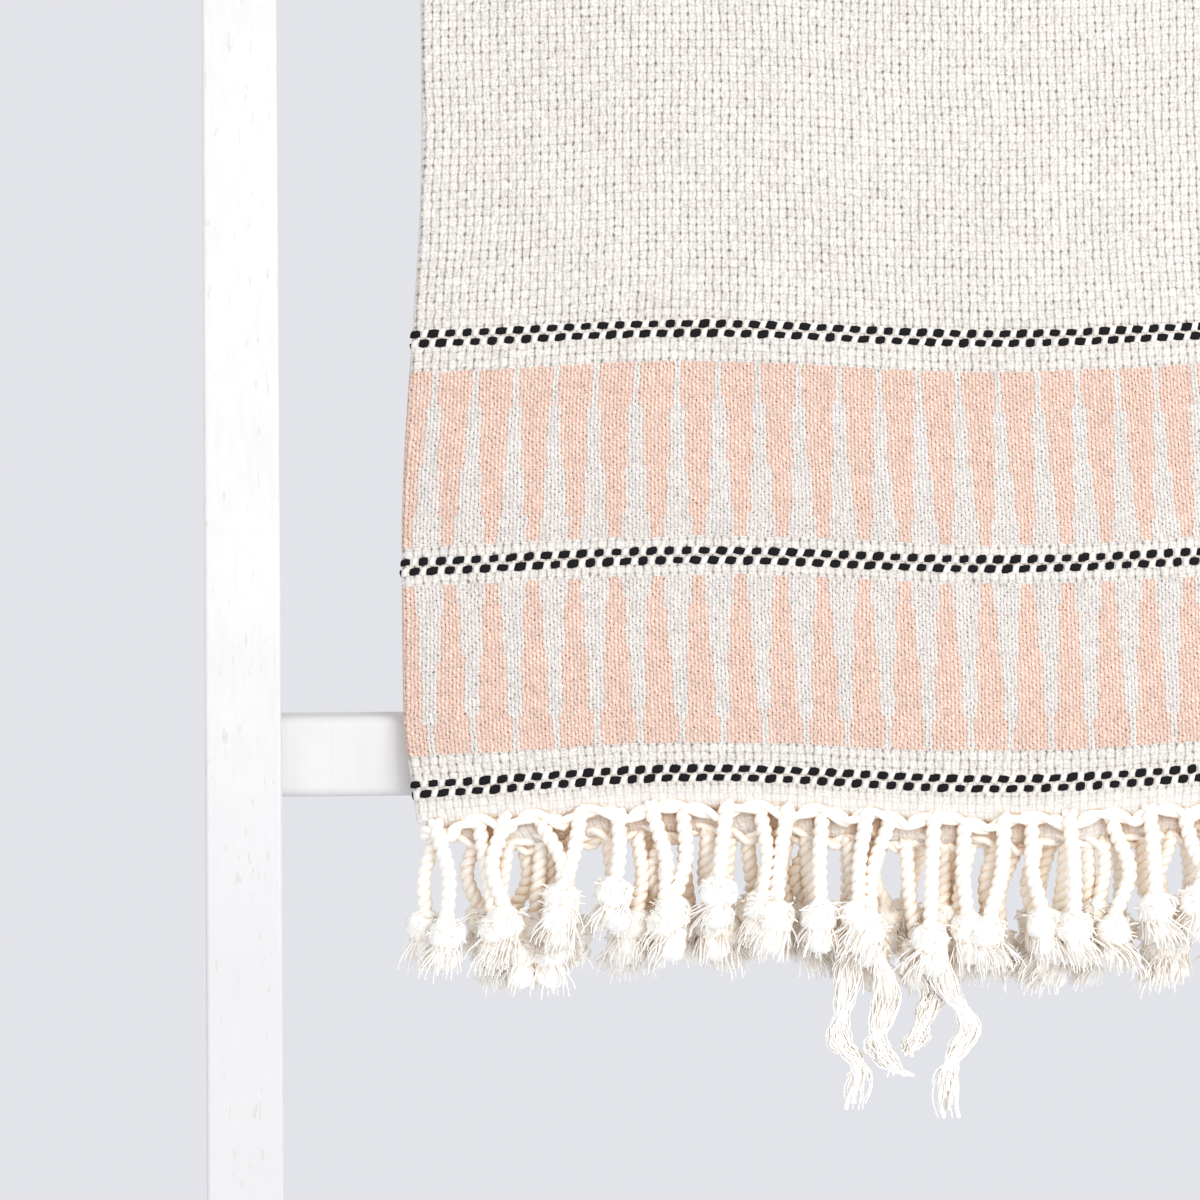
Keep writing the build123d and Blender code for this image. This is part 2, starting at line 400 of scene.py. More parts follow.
def peach_columns(made, u, v):
    """1 where a peach end shows: columns that narrow in slanted steps towards the middle band."""
    from_band = abs(v - BANDS[1])
    column = (u / COLUMN_PITCH).whole()
    wander = (made.speckle(made.joined(column, (v > BANDS[1]) * 7.0)) - 0.5) * 4.5 * MM
    half_width = SPIKE_HALVES[0]
    for place, wider in zip(COLUMN_STEPS, SPIKE_HALVES[1:]):
        half_width = half_width + wider * made.ramp(from_band + wander, place + 1.3 * MM, place - 1.3 * MM)
    off_spike = abs((u / COLUMN_PITCH).part() - 0.5) * COLUMN_PITCH
    in_zone = (from_band > BAND_MARGIN) * (v > PLAIN_LOW) * (v < PLAIN_HIGH)
    ragged = (made.speckle(made.joined((u / END).whole(), (v / PICK).whole(), 9.0)) - 0.5) * 0.9 * MM
    return made.ramp(off_spike + ragged - half_width, -0.35 * MM, 0.35 * MM) * in_zone


def black_dashes(u, v):
    """1 on the two staggered rows of each black band, for the cloth under the raised floats."""
    shown = 0.0
    for band in BANDS:
        for row, shift in ((0.5, 0.0), (-0.5, 0.5)):
            in_row = abs(v - (band + row * ROW_STEP)) < DASH[1] * 0.4
            place = (u / DASH_PITCH + shift).part()
            shown = shown + in_row * (abs(place - 0.5) < DASH[0] * 0.42 / DASH_PITCH)
    return shown


def handspun(made, woven, flat, u, v, calm):
    """The same colour with the grit, slubs, clouds, warm patches and dark flecks of hand-spun yarn."""
    marks = made.ramp(made.noise(flat, 800.0, 3.0, 0.6), 0.53, 0.66)
    grit = made.ramp(made.noise(flat, 1400.0, 2.0, 0.6), 0.34, 0.66) - 0.5
    drawn_out = made.node("ShaderNodeMapping", None, {"Vector": flat, "Scale": (60, 560, 1)})
    slubs = made.noise(drawn_out, 1.0, 2.0)
    cloud = made.noise(flat, 24.0, 3.0, 0.6)
    flecks = made.ramp(made.noise(flat, 420.0, 1.0), 0.73, 0.79)
    patch = made.speckle(made.joined((u / CELL * 2).whole(), (v / CELL).whole(), 2.0)) - 0.5
    tint = made.ramp(made.noise(flat, 75.0, 2.0), 0.5, 0.75)
    woven = made.mix(tint * 0.3, woven, made.vector("MULTIPLY", woven, (1.0, 0.95, 0.9)))
    uneven = 0.2 * grit + 0.14 * (slubs - 0.5) + 0.08 * (cloud - 0.5) + 0.1 * patch - 0.17 * marks * calm
    woven = made.shade(woven, 0.785 + uneven)
    return made.mix(flecks * 0.4, woven, linear(176, 158, 138))


def woven_cotton():
    """Natural basket-woven cotton with plain-woven peach zones, from the cloth's own UV in metres."""
    made = Finish("woven_cotton", roughness=0.92, specular_ior_level=0.12)
    flat = made.node("ShaderNodeUVMap", {"uv_map": "flat"})
    slow = made.drift(flat, 22.0, 2.4 * MM)
    quick = made.drift(flat, 300.0, 1.3 * MM)
    fine_drift = made.drift(flat, 900.0, 0.6 * MM)
    moved = made.vector("ADD", made.vector("ADD", flat, slow), made.vector("ADD", quick, fine_drift))
    u0, v0 = made.parts(flat)
    u, v = made.parts(moved)
    v0, v = v0.at_most(CLOTH_LENGTH - v0), v.at_most(CLOTH_LENGTH - v)

    in_plain = (v > PLAIN_LOW) * (v < PLAIN_HIGH) * (abs(v - BANDS[1]) > BAND_MARGIN)
    body, fine = basket(made, u, v), plain(made, u, v)
    height, seam, pinhole = (made.blend(in_plain, one, other) for one, other in zip(body, fine))
    calm = made.ramp(v, 3 * MM, 13 * MM)
    is_peach = peach_columns(made, u + COLUMN_PITCH / 2, v)

    def tone(natural, spike, peach):
        return made.mix(is_peach, made.mix(in_plain, linear(*natural), linear(*spike)), linear(*peach))

    # The lighter crowns are painted highlight on the yarn tops; the darker seams and pinholes are painted
    # shade between the yarns.
    ground = tone((236, 229, 222), (243, 236, 230), (250, 214, 196))
    crown = tone((255, 251, 245), (255, 252, 248), (255, 240, 229))
    luck = made.speckle(made.joined((u / END * 1.3).whole(), (v / PICK / 1.7).whole(), 5.0))
    woven = made.mix(made.ramp(height, 0.05, 0.8) * (0.6 + 0.6 * luck).at_most(1.0), ground, crown)
    woven = made.mix(seam * calm, woven, tone((196, 186, 177), (214, 204, 197), (231, 180, 153)))
    dark = tone((122, 110, 98), (130, 118, 110), (150, 104, 82))
    woven = made.mix((pinhole * calm).at_most(0.9), woven, dark)
    woven = handspun(made, woven, flat, u, v, calm)
    woven = made.mix(0.6 * made.ramp(v0, 12 * MM, 2 * MM), woven, linear(236, 233, 228))
    # Painted shade: a warm tan mixed in where the cloth is closely sheltered, near the hem twine and between
    # the layers.
    woven = made.mix(0.85 * made.ramp(made.shelter(16 * MM), 0.5, 0.15), woven, linear(220, 174, 124))
    made.feed("Base Color", made.mix(black_dashes(u0, v0), woven, linear(30, 30, 32)))

    relief = height * (1 - 0.4 * in_plain) - pinhole * 0.4 - seam * 0.3
    made.bump(relief + made.noise(flat, 1900.0, 2.0) * 0.3, 0.5 * MM, 0.8)
    return made.material


def twisted_cotton(name, colour, shade_colour, depth, sheltered=1.0, stretch=(1, 1, 1)):
    """Soft cotton yarn with fine fibres, and warm painted shade where it is closely sheltered."""
    made = Finish(name, roughness=0.95, specular_ior_level=0.1)
    spot = made.place()
    fibre = made.noise(made.place(stretch), 1500.0, 3.0, 0.7)
    cloud = made.noise(spot, 160.0, 2.0)
    shadow = tuple(part * 0.88 for part in colour[:3]) + (1.0,)
    fibres = made.mix(made.ramp(fibre, 0.4, 0.7) * 0.2 + cloud * 0.06, colour, shadow)
    # Painted shade: a share of the warm tan where the yarn is closely sheltered.
    shade_mask = made.ramp(made.shelter(18 * MM), 0.38, 0.08) if sheltered else 0.0
    made.feed("Base Color", made.mix(sheltered * shade_mask, fibres, shade_colour))
    made.bump(fibre, depth, 0.7)
    return made.material


PAINT = painted_wood()
ZINC = plain_metal()
RUBBER = grey_rubber()
WOVEN = woven_cotton()
# The warm tan that the yarns take as painted shade where they are sheltered.
PAINTED_SHADE_TAN = linear(246, 212, 170)
CORD = twisted_cotton("white_twisted_cotton", linear(255, 252, 245), PAINTED_SHADE_TAN, 0.2 * MM, 0.85)
LOOSE = twisted_cotton("white_loose_cotton", linear(255, 254, 250), PAINTED_SHADE_TAN, 0.2 * MM, 0.45, (1, 1, 0.12))
FLOAT = twisted_cotton("natural_float_cotton", linear(240, 236, 229), PAINTED_SHADE_TAN, 0.3 * MM, 0.3)
BLACK = twisted_cotton("black_cotton", linear(30, 30, 33), linear(22, 22, 24), 0.2 * MM, 0.0)


# ================================================================ the shape of the throw

HALF = FOLDED_WIDTH / 2
CORNER_Z = RUNGS[4].z + RUNG_SIZE.z / 2 - RUNG_EDGE
FRONT_CORNER = RUNGS[4].y - RUNG_SIZE.y / 2 + RUNG_EDGE
BACK_CORNER = RUNGS[4].y + RUNG_SIZE.y / 2 - RUNG_EDGE
REACH = RUNG_EDGE + CLOTH_GAP


def in_ladder_plane(y, z):
    """Depth through the ladder and run up along it."""
    return y * COS - z * SIN, y * SIN + z * COS


def contact_run(rung):
    """How far up the ladder the cloth touches a rung's upper front edge."""
    return in_ladder_plane(rung.y - RUNG_SIZE.y / 2 + RUNG_EDGE, rung.z + RUNG_SIZE.z / 2 - RUNG_EDGE)[1]


TOUCH_DEPTH = in_ladder_plane(FRONT_CORNER, CORNER_Z)[0] - REACH
TOP_RUN = contact_run(RUNGS[4])
TOUCHES = [contact_run(rung) for rung in RUNGS]
OUTER_DEPTH = TOUCH_DEPTH - 3 * LAYER
HEM_RUN = (RUNGS[1].z - RUNG_SIZE.z / 2 - 8 * MM + OUTER_DEPTH * SIN) / COS
FRONT_RUN = TOP_RUN - HEM_RUN

# The fold, from the left flap's free edge round to the right flap's: straight lengths and half turns.
LEFT_TURN, RIGHT_TURN = LAYER / 2, LAYER
LEFT_END, RIGHT_END = -HALF + LEFT_TURN, HALF - RIGHT_TURN
FREE_EDGE = HALF - SHORT_OF_FOLD
LENGTHS = (
    FREE_EDGE - LEFT_END,
    math.pi * LEFT_TURN,
    RIGHT_END - LEFT_END,
    math.pi * RIGHT_TURN,
    RIGHT_END + FREE_EDGE,
)
STARTS = np.concatenate([[0.0], np.cumsum(LENGTHS)])
CLOTH_WIDTH = float(STARTS[-1])


def smooth(low, high, value):
    share = np.clip((value - low) / (high - low), 0, 1)
    return share * share * (3 - 2 * share)


def fold(u):
    """X and height over the rungs of the folded cloth at a distance across it."""
    flap, left, face, right, last = (u - start for start in STARTS[:5])
    turn_l, turn_r = left / LEFT_TURN, right / RIGHT_TURN
    x = np.select(
        [u < STARTS[1], u < STARTS[2], u < STARTS[3], u < STARTS[4]],
        [FREE_EDGE - flap, LEFT_END - LEFT_TURN * np.sin(turn_l), LEFT_END + face,
         RIGHT_END + RIGHT_TURN * np.sin(turn_r)],
        RIGHT_END - last,
    )
    height = np.select(
        [u < STARTS[1], u < STARTS[2], u < STARTS[3], u < STARTS[4]],
        [1.5 * LAYER + 0 * u, 2.0 * LAYER - LEFT_TURN * np.cos(turn_l), 2.5 * LAYER + 0 * u,
         1.5 * LAYER + RIGHT_TURN * np.cos(turn_r)],
        0.5 * LAYER,
    )
    return x, height


def hang_lower(u, from_hem):
    """How far the folded-in flaps slip down, easing in round each fold and further out along the hem."""
    left, right = STARTS[1] + LENGTHS[1] / 2, STARTS[3] + LENGTHS[3] / 2
    early = 20 * MM - 14 * MM * smooth(0, 16 * MM, from_hem)
    late = 34 * MM + 8 * MM * smooth(0, 16 * MM, from_hem)
    return FLAP_DROP * (1 - smooth(left - late, left + early, u) + smooth(right - early, right + late, u))


def side_drift(above_hem):
    """How far the left fold stands out past its straight line at a height over the hem."""
    spread = 2.7 * MM - 9.0 * MM * smooth(95 * MM, 262 * MM, above_hem)
    tuck = 5.0 * MM * (1 - smooth(-6 * MM, 42 * MM, above_hem))
    corner = 9.0 * MM * (1 - smooth(-12 * MM, 1 * MM, above_hem))
    return spread - tuck - corner


def ripple(x, along):
    """Soft waves that lift the cloth off the rungs, the same for all three layers."""
    broad = 0.5 + 0.5 * np.sin(2 * np.pi * (x / 0.31 + 0.22 + 0.5 * along))
    fine = 0.5 + 0.5 * np.sin(2 * np.pi * (x / 0.118 + 0.9 * along + 0.35))
    return 1.3 * MM * broad + 0.5 * MM * fine


def sag(run):
    """How far the cloth dips between the rungs, and hangs plumb below the second one."""
    dip = np.zeros_like(run)
    for low, high, depth in zip(TOUCHES[:-1], TOUCHES[1:], SAGS):
        dip += depth * np.sin(np.pi * np.clip((run - low) / (high - low), 0, 1)) ** 2
    below = np.maximum(TOUCHES[1] - run, 0)
    ease = 15 * MM
    return dip + math.tan(LEAN) * (below - ease * (1 - np.exp(-below / ease)))


def throw_point(u, v):
    """Where the middle of the cloth lies, from its distance across and its distance up from the front hem."""
    u, v = np.broadcast_arrays(np.asarray(u, float), np.asarray(v, float))
    x, height = fold(u)
    arch = ARCH_RISE * (1 + np.cos(2 * np.pi * (x - ARCH_TOP) / ARCH_PITCH))
    slip = hang_lower(u, np.minimum(v, CLOTH_LENGTH - v))
    steady = (1 - 0.32 * smooth(0, 0.035, v)) * (1 - smooth(0.22, 0.85, v))
    along = v - HEM_TUCK - slip + arch * steady
    back = np.maximum(v - 1.2, 0)
    height = height + ripple(x, v)
    x = x * (1 + np.where(x < 0, side_drift(along), 0.6 * side_drift(along + 0.02)) / HALF)
    x = x + BACK_SKEW * smooth(0.95, CLOTH_LENGTH, v)
    reach = REACH + height

    front_turn = reach * (math.pi / 2 - LEAN)
    flat_top = BACK_CORNER - FRONT_CORNER
    past_front = along - FRONT_RUN
    past_top = past_front - front_turn - flat_top
    past_back = past_top - reach * math.pi / 2

    run = HEM_RUN + along
    depth = TOUCH_DEPTH - height + sag(run)
    angle_front = np.pi - LEAN - np.clip(past_front, 0, None) / reach
    angle_back = np.pi / 2 - np.clip(past_top, 0, None) / reach
    y = np.select(
        [past_front < 0, past_front < front_turn, past_top < 0, past_back < 0],
        [depth * COS + run * SIN, FRONT_CORNER + reach * np.cos(angle_front),
         FRONT_CORNER + past_front - front_turn, BACK_CORNER + reach * np.cos(angle_back)],
        BACK_CORNER + reach,
    )
    z = np.select(
        [past_front < 0, past_front < front_turn, past_top < 0, past_back < 0],
        [run * COS - depth * SIN, CORNER_Z + reach * np.sin(angle_front),
         CORNER_Z + reach, CORNER_Z + reach * np.sin(angle_back)],
        CORNER_Z - past_back - 0.006 * back * np.cos(2 * np.pi * x / ARCH_PITCH),
    )
    return np.stack([x, y, z], -1)


def throw_frame(u, v):
    """Place, direction across, direction up and outward normal of the cloth."""
    step = 0.2 * MM
    place = throw_point(u, v)
    across = throw_point(u + step, v) - throw_point(u - step, v)
    up = throw_point(u, v + step) - throw_point(u, v - step)
    across /= np.linalg.norm(across, axis=-1, keepdims=True)
    out = np.cross(across, up)
    out /= np.linalg.norm(out, axis=-1, keepdims=True)
    return place, across, np.cross(out, across), out


# ================================================================== meshes and pieces

def new_object(name, data):
    made = bpy.data.objects.new(name, data)
    bpy.context.scene.collection.objects.link(made)
    return made


def evaluated(source, name):
    """The object with its modifiers worked in, as a plain mesh of its own. The source goes."""
    bpy.context.view_layer.update()
    shaped = source.evaluated_get(bpy.context.evaluated_depsgraph_get())
    mesh = bpy.data.meshes.new_from_object(shaped)
    bpy.data.objects.remove(source)
    mesh.name = name
    return new_object(name, mesh)


def smooth_faces(piece):
    piece.data.shade_smooth()
    return piece


def cloth_rows():
    """Distances along the cloth, closer together at the hems and over the rung."""
    top = FRONT_RUN + HEM_TUCK
    over = 0.05
    return np.concatenate([
        np.linspace(0, 0.2, 40, endpoint=False),
        np.linspace(0.2, top - 0.01, 60, endpoint=False),
        np.linspace(top - 0.01, top + over, 26, endpoint=False),
        np.linspace(top + over, CLOTH_LENGTH - 0.2, 44, endpoint=False),
        np.linspace(CLOTH_LENGTH - 0.2, CLOTH_LENGTH, 34),
    ])


def cloth_columns():
    counts = (44, 10, 60, 12, 44)
    parts = [np.linspace(a, b, n, endpoint=False) for a, b, n in zip(STARTS[:-1], STARTS[1:], counts)]
    return np.concatenate([*parts, [CLOTH_WIDTH]])


def throw_cloth():
    u, v = np.meshgrid(cloth_columns(), cloth_rows(), indexing="ij")
    places = throw_point(u, v).reshape(-1, 3)
    columns, rows = u.shape
    index = np.arange(columns * rows).reshape(columns, rows)
    quads = np.stack([index[:-1, :-1], index[1:, :-1], index[1:, 1:], index[:-1, 1:]], -1).reshape(-1, 4)
    mesh = bpy.data.meshes.new("throw_cloth")
    mesh.from_pydata(places.tolist(), [], quads.tolist())
    flat = mesh.uv_layers.new(name="flat")
    corners = quads.reshape(-1)
    flat.data.foreach_set("uv", np.stack([u.reshape(-1)[corners], v.reshape(-1)[corners]], -1).reshape(-1))
    mesh.materials.append(WOVEN)
    sheet = new_object("throw_sheet", mesh)
    thick = sheet.modifiers.new("thickness", "SOLIDIFY")
    thick.thickness = CLOTH_THICK
    thick.offset = 0.0
    return smooth_faces(evaluated(sheet, "throw_cloth"))


# ================================================================== geometry node trees

class Recipe(Graph):
    """A geometry node tree with named inputs, made for one kind of piece."""

    KINDS = {float: "NodeSocketFloat", int: "NodeSocketInt", "object": "NodeSocketObject"}

    def __init__(self, name, **inputs):
        self.group = bpy.data.node_groups.new(name, "GeometryNodeTree")
        super().__init__(self.group)
        face = self.group.interface
        face.new_socket("Geometry", in_out="INPUT", socket_type="NodeSocketGeometry")
        for key, value in inputs.items():
            kind = value if value == "object" else type(value)
            made = face.new_socket(key, in_out="INPUT", socket_type=self.KINDS[kind])
            if value != "object":
                made.default_value = value
        face.new_socket("Geometry", in_out="OUTPUT", socket_type="NodeSocketGeometry")
        self.entry = self.tree.nodes.new("NodeGroupInput")

    def given(self, name):
        return Value(self, self.entry.outputs[name])

    def finish(self, geometry, material):
        """Ends the tree in plain, smooth geometry with its material."""
        real = self.node("GeometryNodeRealizeInstances", None, {0: geometry})
        even = self.node("GeometryNodeSetShadeSmooth", None, {"Geometry": real})
        coated = self.node("GeometryNodeSetMaterial", None, {"Geometry": even, "Material": material})
        self.node("NodeGroupOutput", None, {0: coated})

    def use(self, source, name, **settings):
        """Works this tree on a source object and gives the result as a plain mesh piece."""
        modifier = source.modifiers.new(self.group.name, "NODES")
        modifier.node_group = self.group
        sockets = {s.name: s.identifier for s in self.group.interface.items_tree if s.in_out == "INPUT"}
        for key, value in settings.items():
            modifier[sockets[key]] = value
        return evaluated(source, name)

    def chance(self, low, high, seed, kind="FLOAT", each=None):
        """A random value between two others for each element, or for each value of a number."""
        keys = {"FLOAT": ("Min_001", "Max_001", "Value_001"), "FLOAT_VECTOR": ("Min", "Max", "Value")}[kind]
        sockets = {keys[0]: low, keys[1]: high, "Seed": seed}
        if each is not None:
            sockets["ID"] = each
        return self.node("FunctionNodeRandomValue", {"data_type": kind}, sockets, keys[2])

    def moved(self, shape, offset):
        return self.node("GeometryNodeSetPosition", None, {"Geometry": shape, "Offset": offset})

    def placed(self, points, shape, turn, grow=(1, 1, 1)):
        """The shape at each point, turned and scaled."""
        sockets = {"Points": points, "Instance": shape, "Rotation": turn, "Scale": grow}
        return self.node("GeometryNodeInstanceOnPoints", None, sockets)

    def tubes(self, curve, radius, sides, thinning=1.0):
        """Capped round tubes along every spline of a curve."""
        sockets = {"Resolution": sides, "Radius": radius}
        circle = self.node("GeometryNodeCurvePrimitiveCircle", None, sockets, "Curve")
        sockets = {"Curve": curve, "Profile Curve": circle, "Scale": thinning, "Fill Caps": True}
        return self.node("GeometryNodeCurveToMesh", None, sockets)

    def direction(self, name):
        """A direction that the points carry."""
        settings = {"data_type": "FLOAT_VECTOR"}
        return self.node("GeometryNodeInputNamedAttribute", settings, {"Name": name}, "Attribute")


def two_ply_recipe(material):
    """Two round plies twisted about each spline of a curve."""
    tree = Recipe("two_ply_cord", Ply=PLY, Pitch=TWIST_PITCH, Step=0.9 * MM, Sides=8)
    fine = tree.node("GeometryNodeResampleCurve", {"mode": "LENGTH"},
                     {"Curve": tree.given("Geometry"), "Length": tree.given("Step")})
    length = tree.node("GeometryNodeSplineParameter", out="Length")
    normal = tree.node("GeometryNodeInputNormal")
    tangent = tree.node("GeometryNodeInputTangent")
    side = tree.vector("CROSS_PRODUCT", tangent, normal)
    ply = tree.given("Ply")
    plies = []
    for half_turn in (0.0, math.pi):
        angle = length * (2 * math.pi) / tree.given("Pitch") + half_turn
        shift = tree.vector("ADD", tree.scaled(normal, angle.cosine()), tree.scaled(side, angle.sine()))
        wound = tree.moved(fine, tree.scaled(shift, ply * PLY_APART))
        plies.append(tree.tubes(wound, ply, tree.given("Sides")))
    tree.finish(tree.node("GeometryNodeJoinGeometry", None, {0: plies}), material)
    return tree


def knot_recipe(material):
    """One tied knot at each point, each turned its own way."""
    tree = Recipe("tied_knots", Knot="object", Seed=3)
    info = tree.node("GeometryNodeObjectInfo", None, {"Object": tree.given("Knot")}, "Geometry")
    seed = tree.given("Seed")
    turn = tree.chance((-0.5, -0.5, 0.0), (0.5, 0.5, 2 * math.pi), seed, "FLOAT_VECTOR")
    grow = tree.chance(0.86, 1.12, seed + 1)
    tree.finish(tree.placed(tree.given("Geometry"), info, turn, grow), material)
    return tree


def brush_tilt(tree, brush):
    """Which way each brush leans, from its number: mostly to the left or right."""
    return tree.chance((-1, -0.5, 0), (1, 0.5, 0), tree.given("Seed") + 5, "FLOAT_VECTOR", brush)


def wander(tree, scale, reach, fourth=None):
    """A noisy shift of each place of a shape."""
    settings = {"noise_dimensions": "3D" if fourth is None else "4D"}
    sockets = {"Vector": tree.node("GeometryNodeInputPosition"), "Scale": scale, "Detail": 1.0}
    if fourth is not None:
        sockets["W"] = fourth
    colour = tree.node("ShaderNodeTexNoise", settings, sockets, "Color")
    return tree.scaled(tree.vector("SUBTRACT", colour, (0.5, 0.5, 0.5)), reach)


def brush_cores(tree):
    """A soft lump inside each brush, which leans as the brush does."""
    radius = tree.given("Core")
    ball = tree.node("GeometryNodeMeshUVSphere", None, {"Segments": 12, "Rings": 8, "Radius": radius}, "Mesh")
    core = tree.node("GeometryNodeTransform", None, {
        "Geometry": ball,
        "Translation": tree.joined(0.0, 0.0, tree.given("Length") * -0.4),
        "Scale": tree.joined(1.0, 0.85, tree.given("Tall") / radius),
    })
    tilt = brush_tilt(tree, tree.node("GeometryNodeInputIndex"))
    hang = tree.scaled(tree.vector("CROSS_PRODUCT", tilt, (0, 0, 1)), tree.given("Tilt"))
    cores = tree.placed(tree.given("Geometry"), core, hang)
    cores = tree.node("GeometryNodeRealizeInstances", None, {0: cores})
    return tree.moved(cores, wander(tree, 260.0, radius * 0.7))


def brush_strands(tree, factor):
    """Curved strands that fan out below each point and sway as they go down."""
    seed, length, steps = tree.given("Seed"), tree.given("Length"), tree.given("Steps")
    roots = tree.node("GeometryNodeDuplicateElements", {"domain": "POINT"},
                      {"Geometry": tree.given("Geometry"), "Amount": tree.given("Strands")}, "Geometry")
    spot = tree.chance((-1, -1, -0.5), (1, 1, 0.7), seed, "FLOAT_VECTOR")
    roots = tree.moved(roots, tree.scaled(spot, tree.given("Root")))
    bend = length * 0.1
    strand = tree.node("GeometryNodeCurvePrimitiveBezierSegment", None, {
        "Resolution": steps - 1.0,
        "Start": (0, 0, 0),
        "Start Handle": tree.joined(bend, 0, length * -0.35),
        "End Handle": tree.joined(bend * 2.6, 0, length * -0.6),
        "End": tree.joined(bend * 2.0, 0, length * -1.0),
    })
    lean = tree.chance(0.0, 1.0, seed + 2) * tree.given("Spread")
    turn = tree.joined(0.0, lean * -1.0, tree.chance(0.0, 2 * math.pi, seed + 3))
    reach = tree.chance(tree.given("Shortest"), 1.1, seed + 4)
    fan = tree.node("GeometryNodeRealizeInstances", None, {0: tree.placed(roots, strand, turn, reach)})
    number = (tree.node("GeometryNodeInputIndex") / steps).whole()
    tilt = brush_tilt(tree, (number / tree.given("Strands")).whole())
    crimp = wander(tree, 150.0, tree.given("Crimp") * factor * 4, number * 0.37)
    sway = tree.vector("ADD", crimp, tree.scaled(tilt, tree.given("Tilt") * factor * length))
    return tree.moved(fan, sway)


def frayed_recipe(material):
    """Brushes of loose yarn ends that spread below each point, each brush tilted its own way.

    The strands' middle lines and the cores stay short of the place on Y that the input Limit gives.
    """
    tree = Recipe("frayed_ends", Strands=84, Steps=6, Length=TUFT_LENGTH, Spread=0.5, Thickness=0.38 * MM,
                  Crimp=0.55 * MM, Root=4.6 * MM, Core=5.8 * MM, Tall=5.8 * MM, Tilt=0.4, Shortest=0.65,
                  Limit=FAR, Seed=11)
    factor = tree.node("GeometryNodeSplineParameter", out="Factor")
    corner = tree.joined(FAR, tree.given("Limit"), FAR)
    held = tree.vector("MINIMUM", tree.node("GeometryNodeInputPosition"), corner)
    fan, cores = (tree.node("GeometryNodeSetPosition", None, {"Geometry": shape, "Position": held})
                  for shape in (brush_strands(tree, factor), brush_cores(tree)))
    tubes = tree.tubes(fan, tree.given("Thickness"), 4, 1 - 0.35 * factor)
    tree.finish(tree.node("GeometryNodeJoinGeometry", None, {0: [tubes, cores]}), material)
    return tree


def yarn_recipe(material):
    """Round single yarns along every spline of a curve."""
    tree = Recipe("single_yarns", Thickness=0.42 * MM)
    tree.finish(tree.tubes(tree.given("Geometry"), tree.given("Thickness"), 5), material)
    return tree


def float_recipe(name, material):
    """Raised yarn floats: slanted pillows that lie on the cloth at points that carry its directions."""
    tree = Recipe(name, Length=DASH[0], Height=DASH[1], Rise=DASH[2], Slant=0.28, Seed=5)
    box = tree.node("GeometryNodeMeshCube", None, {
        "Size": tree.joined(tree.given("Length") * 1.2, tree.given("Height") * 1.2, tree.given("Rise") * 1.6),
    }, "Mesh")
    round_box = tree.node("GeometryNodeSubdivisionSurface", None,
                          {"Mesh": box, "Level": 1, "Edge Crease": 0.28})
    where = tree.node("GeometryNodeInputPosition")
    up = tree.node("ShaderNodeSeparateXYZ", None, {"Vector": where}, "Y")
    slanted = tree.moved(round_box, tree.joined(up * tree.given("Slant"), 0.0))
    seed = tree.given("Seed")
    lie = tree.node("FunctionNodeAxesToRotation", {"primary_axis": "Z", "secondary_axis": "X"},
                    {"Primary Axis": tree.direction("outward"), "Secondary Axis": tree.direction("across")})
    twist = tree.joined(0.0, 0.0, tree.chance(-0.2, 0.2, seed))
    lie = tree.node("FunctionNodeRotateRotation", {"rotation_space": "LOCAL"},
                    {"Rotation": lie, "Rotate By": twist})
    grow = tree.chance((0.8, 0.82, 0.85), (1.08, 1.08, 1.1), seed + 1, "FLOAT_VECTOR")
    tree.finish(tree.placed(tree.given("Geometry"), slanted, lie, grow), material)
    return tree


def points_object(name, places, **directions):
    """A mesh of loose points that carries directions for a node tree."""
    mesh = bpy.data.meshes.new(name)
    mesh.from_pydata(np.asarray(places).tolist(), [], [])
    for key, values in directions.items():
        mesh.attributes.new(key, "FLOAT_VECTOR", "POINT").data.foreach_set("vector", np.ravel(values))
    return new_object(name, mesh)


def curve_object(name, lines, closed=False):
    """A curve with one straight-run spline for each line of points."""
    data = bpy.data.curves.new(name, "CURVE")
    data.dimensions = "3D"
    for line in lines:
        spline = data.splines.new("POLY")
        spline.points.add(len(line) - 1)
        flat = np.concatenate([line, np.ones((len(line), 1))], axis=1)
        spline.points.foreach_set("co", flat.reshape(-1))
        spline.use_cyclic_u = closed
    return new_object(name, data)


# ===================================================================== the throw's trims

def float_places(front, white):
    """Across and up places of one end's floats in all its bands."""
    count = int(CLOTH_WIDTH / DASH_PITCH)
    across, up = [], []
    for band in BANDS:
        for row, shift in ((0.5, 0.0), (-0.5, 0.5)):
            u = (np.arange(count) + 0.5 - shift + (0.5 if white else 0.0)) * DASH_PITCH
            u = u[(u > DASH_PITCH / 3) & (u < CLOTH_WIDTH - DASH_PITCH / 3)]
            v = band + row * ROW_STEP
            across.append(u)
            up.append(np.full_like(u, v if front else CLOTH_LENGTH - v))
    return np.concatenate(across), np.concatenate(up)


BLACK_FLOATS = float_recipe("black_floats", BLACK)
WHITE_FLOATS = float_recipe("white_floats", FLOAT)


def woven_floats(front, white):
    end = "front" if front else "back"
    place, across, _, out = throw_frame(*float_places(front, white))
    place = place + out * (CLOTH_THICK / 2)
    source = points_object("float_places", place, across=across, outward=out)
    if white:
        long, high, rise = PALE_DASH
        return WHITE_FLOATS.use(source, f"{end}_white_floats", Length=long, Height=high, Rise=rise)
    return BLACK_FLOATS.use(source, f"{end}_black_floats")


